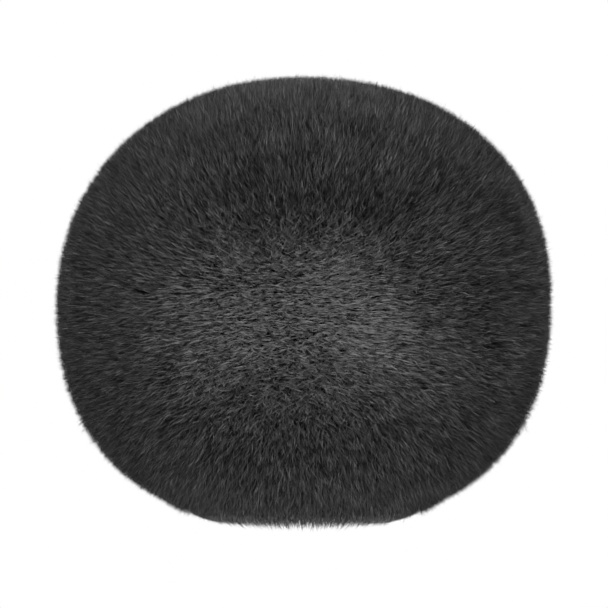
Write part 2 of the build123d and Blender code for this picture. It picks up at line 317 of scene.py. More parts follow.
def rough_between(tree, factor, low, high):
    """A roughness that follows a pattern between two values."""
    node = tree.nodes.new("ShaderNodeMapRange")
    node.inputs["To Min"].default_value = low
    node.inputs["To Max"].default_value = high
    tree.links.new(factor, node.inputs["Value"])
    return node.outputs["Result"]


def bump(tree, shader, height, distance, strength=0.6):
    """Relief from a pattern, as deep as distance."""
    node = tree.nodes.new("ShaderNodeBump")
    node.inputs["Strength"].default_value = strength
    node.inputs["Distance"].default_value = distance
    tree.links.new(height, node.inputs["Height"])
    tree.links.new(node.outputs["Normal"], shader.inputs["Normal"])


def textured(name, dark, light, roughness, height_of, depth, specular=0.3, stain=90):
    """A material whose colour, roughness and bump all come from one fine pattern and a coarse stain."""
    material, tree, shader = new_material(name, light, roughness[0], specular)
    vector = object_space(tree, (1, 1, 1))
    fine = height_of(tree, vector)
    coarse = noise(tree, vector, stain)
    mix = tree.nodes.new("ShaderNodeMath")
    mix.operation = "MULTIPLY_ADD"
    mix.inputs[1].default_value = 0.35
    tree.links.new(coarse, mix.inputs[0])
    tree.links.new(fine, mix.inputs[2])
    colour = ramp(tree, mix.outputs[0], ((0.15, dark), (1.0, light)))
    tree.links.new(colour, shader.inputs["Base Color"])
    tree.links.new(rough_between(tree, fine, *roughness), shader.inputs["Roughness"])
    bump(tree, shader, fine, depth)
    return material


def worn_lacquer():
    """Black lacquer on die-cast metal, thin and scuffed where the surface turns sharply."""
    material, tree, shader = new_material("black_lacquer", (0.02, 0.02, 0.022), 0.32, 0.35)
    vector = object_space(tree, (1, 1, 1))
    scuff = noise(tree, vector, 900, 4)
    edge = tree.nodes.new("ShaderNodeNewGeometry")
    wear = tree.nodes.new("ShaderNodeMath")
    wear.operation = "MULTIPLY"
    tree.links.new(edge.outputs["Pointiness"], wear.inputs[0])
    tree.links.new(scuff, wear.inputs[1])
    stops = ((0.28, (0.012, 0.012, 0.013)), (0.40, (0.03, 0.03, 0.033)), (0.54, (0.22, 0.215, 0.21)))
    tree.links.new(ramp(tree, wear.outputs[0], stops), shader.inputs["Base Color"])
    tree.links.new(rough_between(tree, scuff, 0.34, 0.58), shader.inputs["Roughness"])
    shader.inputs["Metallic"].default_value = 0.25
    bump(tree, shader, scuff, 0.00003, 0.4)
    return material


def zinc():
    """Zinc plating with a fine turned brush."""
    material, tree, shader = new_material("zinc_plate", (0.5, 0.5, 0.51), 0.3, 0.5)
    vector = object_space(tree, (1, 1, 1))
    brush = noise(tree, vector, 2400, 5)
    stops = ((0.3, (0.36, 0.36, 0.37)), (0.7, (0.58, 0.58, 0.59)))
    tree.links.new(ramp(tree, brush, stops), shader.inputs["Base Color"])
    tree.links.new(rough_between(tree, brush, 0.22, 0.42), shader.inputs["Roughness"])
    shader.inputs["Metallic"].default_value = 1.0
    return material


KNIT = textured(
    "knit_backing", (0.003,) * 3, (0.012,) * 3, (0.85, 0.95),
    lambda tree, vector: bands(tree, vector, 320, "Z", 2.0), 0.0003, 0.1,
)
FOAM_LOOK = textured(
    "open_cell_foam", (0.006,) * 3, (0.06,) * 3, (0.8, 0.95),
    lambda tree, vector: cells(tree, vector, 900), 0.0006, 0.15,
)
BINDING_LOOK = textured(
    "bias_binding", (0.006,) * 3, (0.035,) * 3, (0.7, 0.9),
    lambda tree, vector: bands(tree, vector, 900, "DIAGONAL", 0.6), 0.0001, 0.2,
)
THREAD_LOOK = textured(
    "sewing_thread", (0.012,) * 3, (0.06,) * 3, (0.5, 0.7),
    lambda tree, vector: bands(tree, vector, 1500, "DIAGONAL"), 0.00005, 0.35,
)
ELASTIC_LOOK = textured(
    "braided_elastic", (0.012,) * 3, (0.07,) * 3, (0.6, 0.8),
    lambda tree, vector: noise(tree, vector, 2500), 0.00005, 0.3,
)
TAPE_LOOK = textured(
    "zip_tape_weave", (0.006,) * 3, (0.032,) * 3, (0.7, 0.9),
    lambda tree, vector: bands(tree, vector, 1200, "Z", 1.0), 0.00006, 0.2,
)
PLASTIC = textured(
    "eroded_plastic", (0.016,) * 3, (0.034,) * 3, (0.42, 0.6),
    lambda tree, vector: noise(tree, vector, 1600, 4), 0.00006, 0.45,
)
RUBBER = textured(
    "soft_rubber", (0.012,) * 3, (0.03,) * 3, (0.6, 0.8),
    lambda tree, vector: noise(tree, vector, 700, 5), 0.00008, 0.3,
)
SEAL_LOOK = textured(
    "seal_rubber", (0.008,) * 3, (0.018,) * 3, (0.35, 0.5),
    lambda tree, vector: noise(tree, vector, 500, 2), 0.00003, 0.45,
)
ACETAL = textured(
    "acetal_teeth", (0.01,) * 3, (0.024,) * 3, (0.38, 0.55),
    lambda tree, vector: noise(tree, vector, 1100, 3), 0.00003, 0.5,
)
LACQUER = worn_lacquer()
ZINC = zinc()

NODE_MATERIALS = {
    "insert_plate": PLASTIC, "boot_clamp_ring": PLASTIC, "basket_neck": PLASTIC,
    "lower_basket": PLASTIC, "upper_basket": PLASTIC, "rubber_boot": RUBBER, "seal_ring": SEAL_LOOK,
    "clamp_screws": ZINC, "zip_stops": LACQUER,
    "zip_slider": LACQUER, "pull_pin": LACQUER, "zip_pull": LACQUER,
}


# ---- Layers of the ball ----
BACKING_OUT = 4.3 * MM  # insets of the knitted backing and the dense underfur on it
BACKING_IN = 7.9 * MM
FOAM_OUT = 8.35 * MM
FOAM_IN = 11.25 * MM
LAYER_GAP = 0.1 * MM  # between the two foam cups and the ball's middle
POLE_TILT = radians(89)
GATHERS = 96  # puckers round the hem
HEM_STITCHES = 110
ELASTIC_YARNS = 8
ELASTIC_TWISTS = 40
YARN_R = 0.16 * MM
YARN_WEAVE = 0.06 * MM  # how far a yarn dips under the next
TAPE_RIB = 0.7 * MM  # pitch of the herringbone
TAPE_RELIEF = 0.04 * MM
TAPE_THICK = 0.55 * MM
TAPE_STITCH = 2.0 * MM
TAPE_STITCH_SIZE = (1.3 * MM, 0.24 * MM)  # length and width
HEM_STITCH_SIZE = (1.0 * MM, 0.22 * MM)
HEM_THICK = 0.45 * MM
PUCKER_IN, PUCKER_UP = 0.07 * MM, 0.05 * MM
UNDERFUR_LUMPS = 0.18 * MM
FOAM_PITS = 0.12 * MM


def quads(a, b, c, d):
    """One four-sided face for each place in four equal arrays of corners."""
    return np.stack([a.ravel(), b.ravel(), c.ravel(), d.ravel()], 1)


def curved_slab(name, turns, low_of, high_of, insets, rows, ripple, material, slot, closed=False):
    """A closed slab of one layer of the ball, between two insets.

    turns are the azimuths of its columns. low_of and high_of give the outline angle of its lower and upper
    edge on the surface at an inset. With no high_of it closes over the pole."""
    share = np.linspace(0, 1, rows)[:, None]
    sides = []
    for inset, swell in zip(insets, (ripple, 0)):
        low = np.broadcast_to(low_of(inset), turns.shape)
        high = POLE_TILT if high_of is None else np.broadcast_to(high_of(inset), turns.shape)
        tilt = low + (high - low) * share
        point, normal = surface(np.broadcast_to(turns, tilt.shape), tilt, inset)
        point, normal = point.reshape(-1, 3), normal.reshape(-1, 3)
        lump = waves(point, 2.6 * MM, 11, 8) + 0.6 * waves(point, 7 * MM, 12)
        sides.append(point + normal * (swell * lump)[:, None])
    points = np.concatenate(sides)
    outer = np.arange(rows * len(turns)).reshape(rows, len(turns))
    if closed:
        outer = np.concatenate([outer, outer[:, :1]], axis=1)
    inner = outer + rows * len(turns)

    skin = [
        quads(outer[:-1, :-1], outer[:-1, 1:], outer[1:, 1:], outer[1:, :-1]),
        quads(inner[1:, :-1], inner[1:, 1:], inner[:-1, 1:], inner[:-1, :-1]),
        quads(inner[0, :-1], inner[0, 1:], outer[0, 1:], outer[0, :-1]),
    ]
    if not closed:
        skin.append(quads(outer[:-1, 0], outer[1:, 0], inner[1:, 0], inner[:-1, 0]))
        skin.append(quads(inner[:-1, -1], inner[1:, -1], outer[1:, -1], outer[:-1, -1]))
    if high_of is None:
        poles = [points[layer[-1]].mean(axis=0) for layer in (outer, inner)]
        points = np.concatenate([points, poles])
        top = np.full(len(turns), len(points) - 2)
        fans = np.stack([outer[-1, :-1], outer[-1, 1:], top], 1)
        under = np.stack([inner[-1, 1:], inner[-1, :-1], top + 1], 1)
        faces = [np.concatenate(skin), np.concatenate([fans, under])]
    else:
        skin.append(quads(outer[-1, :-1], outer[-1, 1:], inner[-1, 1:], inner[-1, :-1]))
        faces = [np.concatenate(skin)]
    return new_mesh(name, points, faces, [material], "ball")


def arc(start, stop, step):
    """Azimuths of columns about a step apart, with a close pair where the zip's channel begins and ends."""
    turns = list(np.linspace(start, stop, int((stop - start) * BALL_R / step)))
    for end in CHANNEL_ENDS:
        if start < end < stop:
            turns += [end - radians(0.05), end + radians(0.05)]
    return np.array(sorted(turns))


def band_floor(turns):
    """Lower edge of the band: the lower seam, or the top of the zip's channel."""
    return np.where(in_channel(wrap(turns)), CHANNEL_HIGH, SEAM_Z)


def base_top(turns):
    """Upper edge of the base: the lower seam, or the bottom of the zip's channel."""
    return np.where(in_channel(wrap(turns)), CHANNEL_LOW, SEAM_Z)


def height_line(inset, low_tilt, high_tilt):
    """Length along the outline between two outline angles."""
    tilts = np.linspace(low_tilt, high_tilt, 400)
    line, _ = surface(np.zeros_like(tilts), tilts, inset)
    return float(np.linalg.norm(np.diff(line, axis=0), axis=1).sum())


def make_backings():
    """The knitted backing of each panel, with its dense underfur."""
    pieces = {}
    layer = dict(insets=(BACKING_OUT, BACKING_IN), ripple=UNDERFUR_LUMPS, material=KNIT, slot="fur")
    for number, name in enumerate(BAND_PANELS):
        turns = arc(SIDE_SEAMS[number], SIDE_SEAMS[number] + PANEL_SWEEPS[number], 1.1 * MM)
        pieces[name] = curved_slab(
            f"{name}_backing", turns, lambda inset: tilt_at(band_floor(turns), inset),
            lambda inset: tilt_at(CROWN_Z, inset), rows=46, **layer,
        )
    around = arc(-pi, pi, 1.2 * MM)[:-1]
    pieces["crown_panel"] = curved_slab(
        "crown_panel_backing", around, lambda inset: tilt_at(CROWN_Z, inset), None,
        rows=48, closed=True, **layer,
    )
    pieces["base_panel"] = curved_slab(
        "base_panel_backing", around, lambda inset: tilt_at_radius(HEM_OUT_R + 0.15 * MM, inset),
        lambda inset: tilt_at(base_top(around), inset), rows=34, closed=True, **layer,
    )
    return pieces


def make_foam():
    """Two cups of open-cell foam, cut with a hot wire, so their skin is pitted."""
    around = np.linspace(-pi, pi, 240, endpoint=False)
    hole = float(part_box("basket_neck")[1][0]) + 0.5 * MM
    layer = dict(
        insets=(FOAM_OUT, FOAM_IN), ripple=-FOAM_PITS, material=FOAM_LOOK, slot="open_foam", closed=True,
    )
    upper = curved_slab(
        "upper_foam_cup", around, lambda inset: tilt_at(BALL_Z + LAYER_GAP, inset), None, rows=50, **layer,
    )
    lower = curved_slab(
        "lower_foam_cup", around, lambda inset: tilt_at_radius(hole, inset),
        lambda inset: tilt_at(BALL_Z - LAYER_GAP, inset), rows=44, **layer,
    )
    for cup, node in ((upper, "upper_foam"), (lower, "lower_foam")):
        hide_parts(node)


# ---- Hem, elastic and zip tapes ----
def swept_ring(name, profile_of, count, material, start=None, sweep=None):
    """A closed section, given for each azimuth as (radius, height) points, swept round the axis."""
    closed = start is None
    if closed:
        turns = np.linspace(-pi, pi, count, endpoint=False)
    else:
        turns = np.linspace(start, start + sweep, count)
    section = profile_of(turns)
    points = np.stack([
        section[..., 0] * np.cos(turns)[:, None], section[..., 0] * np.sin(turns)[:, None], section[..., 1],
    ], -1).reshape(-1, 3)
    number = np.arange(section.shape[0] * section.shape[1]).reshape(section.shape[:2])
    number = np.concatenate([number, number[:, :1]], axis=1)
    if closed:
        number = np.concatenate([number, number[:1]])
    faces = [quads(number[:-1, :-1], number[1:, :-1], number[1:, 1:], number[:-1, 1:])]
    if not closed:
        faces.append(number[:1, :-1])
        faces.append(number[-1:, -2::-1])
    return new_mesh(name, points, faces, [material], "ball")


def stitches(name, turns, radius, level, size):
    """A row of sewn stitches round the axis, each a flattened six-sided bead."""
    length, width = size
    runs, outs = along_at(turns), out_at(turns)
    places = outs * radius + np.array([0, 0, level])
    sides, rings = 6, 5
    angle = np.arange(sides) * 2 * pi / sides
    share = np.linspace(-1, 1, rings)
    girth = np.sqrt(np.maximum(1 - share ** 2, 0.04))
    across = np.cross(runs, outs)
    body = (
        places[:, None, None] + runs[:, None, None] * (share * length / 2)[None, :, None, None]
        + across[:, None, None] * (girth[:, None] * np.cos(angle) * width / 2)[None, :, :, None]
        + outs[:, None, None] * ((girth[:, None] * np.sin(angle) * 0.7 + 0.25) * width / 2)[None, :, :, None]
    )
    one = np.arange(rings * sides).reshape(rings, sides)
    one = np.concatenate([one, one[:, :1]], axis=1)
    wall = quads(one[:-1, :-1], one[:-1, 1:], one[1:, 1:], one[1:, :-1])
    ends = np.stack([one[0, -2::-1], one[-1, :-1]])
    first = (np.arange(len(places)) * rings * sides)[:, None, None]
    faces = [(wall + first).reshape(-1, 4), (ends + first).reshape(-1, sides)]
    return new_mesh(name, body.reshape(-1, 3), faces, [THREAD_LOOK], "ball")


def out_at(turns):
    """Level directions away from the axis."""
    return np.stack([np.cos(turns), np.sin(turns), np.zeros_like(turns)], -1)


def along_at(turns):
    """Level directions round the axis, anticlockwise from above."""
    return np.stack([-np.sin(turns), np.cos(turns), np.zeros_like(turns)], -1)


def make_hem():
    """A folded binding, gathered by its elastic, with a row of stitches round its outer leg."""
    in_r, out_r = HEM_IN_R + 0.05 * MM, HEM_OUT_R
    low, high = float(HEM_LOW[2]), float(HEM_HIGH[2])
    thick = HEM_THICK
    outline = np.array([
        (out_r, high), (out_r, low + 0.6 * MM), (out_r - 0.25 * MM, low + 0.15 * MM), (out_r - 0.8 * MM, low),
        (in_r + 0.8 * MM, low), (in_r + 0.25 * MM, low + 0.15 * MM), (in_r, low + 0.6 * MM), (in_r, high),
        (in_r + thick, high), (in_r + thick, low + thick + 0.2 * MM), (in_r + thick + 0.4 * MM, low + thick),
        (out_r - thick - 0.4 * MM, low + thick), (out_r - thick, low + thick + 0.2 * MM),
        (out_r - thick, high),
    ])

    def gathered(turns):
        pucker = np.sin(turns * GATHERS) + 0.5 * np.sin(turns * (GATHERS * 2 + 7) + 1)
        section = np.broadcast_to(outline, (len(turns), *outline.shape)).copy()
        depth = smooth(low - 0.2 * MM, high, section[..., 1])
        section[..., 0] -= (PUCKER_IN * (1 - 0.6 * depth)) * (1.5 + pucker[:, None])
        section[..., 1] += PUCKER_UP * pucker[:, None] * (1 - depth)
        return section

    hem = swept_ring("hem_binding_tape", gathered, 900, BINDING_LOOK)
    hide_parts("hem_binding")
    turns = np.linspace(-pi, pi, HEM_STITCHES, endpoint=False)
    row = stitches("hem_stitches", turns, out_r, low + 0.9 * MM, HEM_STITCH_SIZE)
    return [hem, row]


def make_elastic():
    """A round elastic of eight braided yarns in the hem's fold."""
    low, high = (np.array(corner, float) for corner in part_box("hem_elastic"))
    core_r = (high[2] - low[2]) / 2
    middle_r, middle_z = float(high[0]) - core_r, (low[2] + high[2]) / 2
    count, sides = 720, 6
    turns = np.linspace(-pi, pi, count, endpoint=False)
    points, faces = [], []
    corner = np.arange(sides) * 2 * pi / sides
    for yarn in range(ELASTIC_YARNS):
        way = 1 if yarn % 2 else -1
        phase = way * turns * ELASTIC_TWISTS + yarn * 2 * pi / ELASTIC_YARNS
        weave = core_r - YARN_R - YARN_WEAVE * (1 + np.cos(phase * ELASTIC_YARNS / 2 + yarn * pi))
        ring_r = middle_r + weave * np.cos(phase)
        ring_z = middle_z + weave * np.sin(phase)
        r = ring_r[:, None] + YARN_R * np.cos(corner)
        z = ring_z[:, None] + YARN_R * np.sin(corner)
        point = np.stack([r * np.cos(turns)[:, None], r * np.sin(turns)[:, None], z], -1).reshape(-1, 3)
        number = np.arange(count * sides).reshape(count, sides) + len(points) * count * sides
        number = np.concatenate([number, number[:, :1]], axis=1)
        number = np.concatenate([number, number[:1]])
        faces.append(quads(number[:-1, :-1], number[1:, :-1], number[1:, 1:], number[:-1, 1:]))
        points.append(point)
    elastic = new_mesh(
        "braided_elastic", np.concatenate(points), [np.concatenate(faces)], [ELASTIC_LOOK], "ball"
    )
    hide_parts("hem_elastic")


def make_zip_tapes():
    """Two woven tapes with a herringbone face, each sewn to its panel by a row of stitches."""
    tapes = {}
    start, sweep = CHANNEL_ENDS[0] + radians(1), CHANNEL_ENDS[1] - CHANNEL_ENDS[0] - radians(2)
    for name, side in (("upper", 1), ("lower", -1)):
        low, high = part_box(f"{name}_zip_tape")
        low_z, high_z = float(low[2]), float(high[2])
        out_r = float(high[1])
        steps = 12

        def woven(turns):
            heights = np.linspace(low_z, high_z, steps)
            chevron = np.abs((heights - low_z) / (high_z - low_z) - 0.5) * 2
            rib = np.sin(turns[:, None] * out_r / TAPE_RIB * 2 * pi + chevron * 5)
            face = out_r - TAPE_RELIEF + TAPE_RELIEF * rib
            back = np.full_like(face, out_r - TAPE_THICK)
            levels = np.broadcast_to(heights, face.shape)
            radius = np.concatenate([face[:, ::-1], back], axis=1)
            height = np.concatenate([levels[:, ::-1], levels], axis=1)
            return np.stack([radius, height], -1)

        tape = swept_ring(f"{name}_tape_weave", woven, 900, TAPE_LOOK, start, sweep)
        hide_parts(f"{name}_zip_tape")
        turns = np.arange(start + radians(1), start + sweep - radians(0.5), TAPE_STITCH / out_r)
        level = SEAM_Z + side * (CHANNEL_HIGH - CHANNEL_LOW) * 0.43
        row = stitches(f"{name}_tape_stitches", turns, out_r, level, TAPE_STITCH_SIZE)
        tapes[name] = [tape, row]
    return tapes


# ---- Zip teeth ----
TOOTH_COUNT = 68
CHAIN_START = radians(6)
CHAIN_SWEEP = radians(168)
TOOTH_SHIFT = radians(0.6)  # each row is turned this far from the middle, so that a tooth faces a gap
TOOTH_R = 44.825 * MM
ZIP_Z = float(np.mean([corner[2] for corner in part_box("zip_slider")]))  # just under the panels' edge
TOOTH_SECTIONS = (  # height from the zip's middle, half width and half depth, in mm
    (2.40, 0.45, 0.62), (2.25, 0.60, 0.775), (1.45, 0.60, 0.775), (1.25, 0.52, 0.72), (1.15, 0.34, 0.52),
    (0.90, 0.34, 0.52), (0.75, 0.44, 0.58), (0.48, 0.42, 0.55), (0.38, 0.30, 0.42),
)
CORNER = 0.6  # share of a section's side that is straight


def make_zip_teeth():
    """Two rows of moulded teeth. Their heads leave room for the slider's divider to pass between."""
    octagon = np.array([
        (1, CORNER), (CORNER, 1), (-CORNER, 1), (-1, CORNER),
        (-1, -CORNER), (-CORNER, -1), (CORNER, -1), (1, -CORNER),
    ])
    sides = len(octagon)
    for name, side in (("upper", 1), ("lower", -1)):
        turns = CHAIN_START + side * TOOTH_SHIFT + np.linspace(0, CHAIN_SWEEP, TOOTH_COUNT)
        rings = [
            out_at(turns)[:, None] * (TOOTH_R + octagon[:, :1] * depth * MM)
            + along_at(turns)[:, None] * octagon[:, 1:] * side * width * MM
            + np.array([0, 0, ZIP_Z + side * level * MM])
            for level, width, depth in TOOTH_SECTIONS
        ]
        points = np.stack(rings, 1).reshape(-1, 3)
        one = np.arange(len(rings) * sides).reshape(len(rings), sides)
        one = np.concatenate([one, one[:, :1]], axis=1)
        wall = quads(one[1:, :-1], one[1:, 1:], one[:-1, 1:], one[:-1, :-1])
        ends = np.stack([one[0, :-1], one[-1, -2::-1]])
        first = (np.arange(TOOTH_COUNT) * len(rings) * sides)[:, None, None]
        faces = [(wall + first).reshape(-1, 4), (ends + first).reshape(-1, sides)]
        teeth = new_mesh(
            f"{name}_teeth_row", points, faces, [ACETAL], "ball", smooth_faces=False,
        )
        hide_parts(f"{name}_zip_teeth")


# ---- Pile ----
PILE_SHADES = (0.006, 0.014, 0.030, 0.060, 0.110, 0.190)  # linear greys, darkest first
LOCKS_PER_MM2 = 8.0
HAIRS_PER_LOCK = 2
HAIR_LENGTH = 4.6 * MM
HAIR_ROOT = 4.4 * MM  # how far under the outside the hairs are rooted
HAIR_WIDTH = 0.12 * MM
LOCK_SPREAD = 0.10 * MM
MOST_HAIRS = 64_000  # in one piece, so that its mesh stays small enough
PULL_ROOM = (SEAM_Z - 2.7 * MM, SEAM_Z + 2.7 * MM)  # heights that the zip's pull sweeps, with room to spare
PULL_SPARE = 2 * MM  # most that a hair keeps beyond that room
HEM_LOCKS = 11_000
HEM_DROP = 3 * MM  # usual drop of the hem's hair, which sets how far it closes over the opening
HEM_DEEPER = 0.62  # how much lower its inmost rows hang at the front and back than the ball's outline
HEM_SIDE_HIGH = 2.2 * MM  # height of the rows on the hem's outer side
HEM_OUT_LEAN, HEM_TURN_IN = 0.3, 1.4  # outward lean of the outmost row, and how far the inmost turns in
HEM_TONE, HEM_HAIR_TONE = 1.9, 0.5
EDGE_REACH = 4 * MM  # how far from the zip's channel the pile still leans towards it
EDGE_LEAN = 0.95  # lean of the hair that closes over the channel's edges and ends
LOWER_EDGE_LEAN = 3.0  # times that at the lower edge, because the ball's surface turns down there
COMB_BIAS = 0.07  # lean of combed hair to one side
COMB_LEAN = 0.42  # and of its locks, either way
LOOSE_LEAN = 0.15  # lean of locks that aren't combed
COMB_LEVEL = 0.08  # how much less a combed lock leans up or down
HAIR_LEAN = 0.06  # lean of single hairs
DRIFT_LEAN, SWIRL_LEAN = 0.06, 0.07  # lean of whole patches, sideways and up
TOP_LEAN = 0.13  # upward lean of the upper half
LONGER = 0.16  # how much longer hair grows under the zip, and how much round the opening
BASE_TONE = 1.8  # usual place among the shades
PAINTED_SHEEN_TONE = 3.0  # how much lighter the painted sheen patch is: combed pile in the front and back given lighter shades, as if it caught more light
PAINTED_SIDE_SHADE = 1.1  # how much painted shade darkens the ball's sides
LOCK_TONE, LOCK_CALM = 1.1, 0.6  # spread between locks, and what the painted sheen patch takes off it
HAIR_TONE = 0.42  # spread between single hairs
DRIFT_TONE = 0.2
PAINTED_SHEEN_Z = 42 * MM  # height of the middle of the painted sheen patch in the front and back
PAINTED_SHEEN_TALL = 18 * MM
PAINTED_SHEEN_TURN = radians(1)  # how far to its left the middle lies, seen from outside
PAINTED_SHEEN_WIDE = radians(41)
PANEL_MIDDLES = (-pi / 2, 0, pi / 2, pi)
HALF_PANEL = radians(46)


def pile_materials():
    """One material for each shade of the dyed fibre."""
    shades = []
    for number, grey in enumerate(PILE_SHADES):
        material, _, _ = new_material(f"pile_{number}", (grey, grey, grey), 0.55, 0.3)
        shades.append(material)
    return shades


def scatter(count, rng, low, high):
    """Azimuths and outline angles spread evenly over the ball between two outline angles, and its area."""
    table = np.linspace(low, high, 2000)
    line, _ = surface(np.zeros_like(table), table, HAIR_ROOT / 2)
    step = np.linalg.norm(np.diff(line, axis=0), axis=1)
    share = np.concatenate([[0], np.cumsum(step * (line[1:, 0] + line[:-1, 0]) / 2)])
    tilt = np.interp(rng.random(count) * share[-1], share, table)
    return rng.uniform(-pi, pi, count), tilt, share[-1] * 2 * pi


def combing(turn, height):
    """How strongly the pile is brushed sideways: most in the middle of each band panel, none at its seams."""
    off = np.min([np.abs(wrap(turn - middle)) for middle in PANEL_MIDDLES], axis=0) / HALF_PANEL
    under_crown = smooth(CROWN_Z + 1 * MM, CROWN_Z - 13 * MM, height)
    over_seam = smooth(SEAM_Z - 6 * MM, SEAM_Z + 9 * MM, height)
    return under_crown * over_seam * smooth(1.08, 0.45, off)


def lean_pile(root, normal, across, lock, rng):
    """Bends and tips of the hairs, which lean with the nap, each lock its own way."""
    count = lock[-1] + 1
    upward = np.cross(normal, across)
    turn, height = np.arctan2(root[:, 1], root[:, 0]), root[:, 2]
    comb = combing(turn, height)
    drift, swirl = waves(root, 16 * MM, 3), waves(root, 6 * MM, 4)
    lock_lean = rng.normal(size=(count, 2))[lock]
    hair_lean = rng.normal(size=(len(root), 2)) * HAIR_LEAN
    combed = COMB_BIAS * np.abs(np.sin(turn)) + COMB_LEAN * lock_lean[:, 0]
    side = comb * combed + (1 - comb) * LOOSE_LEAN * lock_lean[:, 0]
    side = side + DRIFT_LEAN * drift + hair_lean[:, 0]
    rise = TOP_LEAN * smooth(BALL_Z, BALL_Z + 15 * MM, height) + SWIRL_LEAN * swirl
    rise = rise + (LOOSE_LEAN - COMB_LEVEL * comb) * lock_lean[:, 1] + hair_lean[:, 1]
    along, up = close_over_channel(turn, height, rng.uniform(0.45, 1, count)[lock])
    nap = across * (side + along)[:, None] + upward * (rise + up)[:, None]
    length = HAIR_LENGTH * (1 + 0.07 * rng.normal(size=count)[lock] + 0.04 * rng.normal(size=len(root)))
    # longer under the zip, where it has further to reach, and round the opening, where the panel is eased in
    from_hem = np.hypot(root[:, 0], root[:, 1]) - HEM_OUT_R
    by_hem = smooth(6 * MM, 0, from_hem)
    length = length * (1 + LONGER * np.clip(up, 0, 3) + LONGER * by_hem * (height < SEAM_Z))
    bend = root + unit(normal + nap * 0.7) * (length * 0.55)[:, None]
    tip = bend + unit(normal + nap * 1.5) * (length * 0.45)[:, None]
    # the tips of a lock draw together
    centre = np.zeros((count, 3))
    np.add.at(centre, lock, tip)
    centre = centre[lock] / HAIRS_PER_LOCK
    tip = tip + (centre - tip) * rng.uniform(0.3, 0.8, len(root))[:, None]
    return bend, tip, drift


def close_over_channel(turn, height, share):
    """Lean of the hairs beside the zip's channel, which close over its edges and its ends."""
    above, below = height - CHANNEL_HIGH, CHANNEL_LOW - height
    beside = smooth(-1 * MM, 1 * MM, BALL_R * np.minimum(turn - CHANNEL_ENDS[0], CHANNEL_ENDS[1] - turn))
    up = beside * (smooth(EDGE_REACH, 0, below) * (below > 0) - smooth(EDGE_REACH, 0, above) * (above > 0))
    level = (above < 0) & (below < 0)
    before = (CHANNEL_ENDS[0] - turn) * BALL_R
    after = np.where(turn > 0, turn - CHANNEL_ENDS[1], turn + 2 * pi - CHANNEL_ENDS[1]) * BALL_R
    along = smooth(EDGE_REACH, 0, before) * (before > 0) - smooth(EDGE_REACH, 0, after) * (after > 0)
    return EDGE_LEAN * (level * along) * share, EDGE_LEAN * up * share * np.where(up > 0, LOWER_EDGE_LEAN, 1)


def clear_the_pull(points, spare):
    """Keeps hair out of the way that the zip's pull sweeps: it bends along the edges of the channel."""
    low, high = PULL_ROOM[0] - spare, PULL_ROOM[1] + spare
    near = in_channel(np.arctan2(points[:, 1], points[:, 0]))
    over = near & (points[:, 2] >= SEAM_Z)
    under = near & (points[:, 2] < SEAM_Z)
    points[over, 2] = np.maximum(points[over, 2], high[over])
    points[under, 2] = np.minimum(points[under, 2], low[under])


def grow_pile():
    """Roots, bends and tips of every hair, with its shade, and the panel it stands on."""
    rng = np.random.default_rng(7)
    low = tilt_at_radius(HEM_OUT_R + 0.3 * MM, HAIR_ROOT)
    _, _, area = scatter(1, rng, low, pi / 2)
    count = int(area / MM ** 2 * LOCKS_PER_MM2)
    turn, tilt, _ = scatter(count, rng, low, pi / 2)
    lock = np.repeat(np.arange(count), HAIRS_PER_LOCK)
    turn, tilt = turn[lock], tilt[lock]
    middle, normal = surface(turn, tilt, HAIR_ROOT)
    across = along_at(turn)
    spread = rng.normal(size=(len(turn), 2)) * LOCK_SPREAD
    root = middle + across * spread[:, :1] + np.cross(normal, across) * spread[:, 1:]
    bend, tip, drift = lean_pile(root, normal, across, lock, rng)

    # painted sheen: a patch of lighter shades in the front and back, where the combed pile would catch more
    # light
    height = middle[:, 2]
    aside = turn + PAINTED_SHEEN_TURN
    off = np.minimum(np.abs(wrap(aside + pi / 2)), np.abs(wrap(aside - pi / 2))) / PAINTED_SHEEN_WIDE
    painted_sheen = np.exp(-((height - PAINTED_SHEEN_Z) / PAINTED_SHEEN_TALL) ** 2 - off ** 2.5)
    mottle = (LOCK_TONE - LOCK_CALM * painted_sheen) * rng.normal(size=count)[lock]
    mottle = mottle + HAIR_TONE * rng.normal(size=len(turn))
    # painted shade: the ball's left and right sides are given darker shades
    sides = smooth(0.75, 0.1, np.abs(np.sin(turn)))
    tone = BASE_TONE + PAINTED_SHEEN_TONE * painted_sheen - PAINTED_SIDE_SHADE * sides + mottle + DRIFT_TONE * drift
    shade = np.clip(np.round(tone), 0, len(PILE_SHADES) - 1).astype(int)

    margin = 0.3 * MM
    in_slot = in_channel(turn) & (height > CHANNEL_LOW - margin) & (height < CHANNEL_HIGH + margin)
    spare = PULL_SPARE * rng.random(len(turn)) ** 2
    clear_the_pull(bend, spare)
    clear_the_pull(tip, spare)
    panel = np.full(len(turn), "crown_panel", object)
    for number, name in enumerate(BAND_PANELS):
        beyond = (turn - SIDE_SEAMS[number]) % (2 * pi)
        panel[(height < CROWN_Z) & (beyond < PANEL_SWEEPS[number])] = name
    panel[height < SEAM_Z] = "base_panel"
    kept = ~in_slot
    return root[kept], bend[kept], tip[kept], shade[kept], panel[kept]


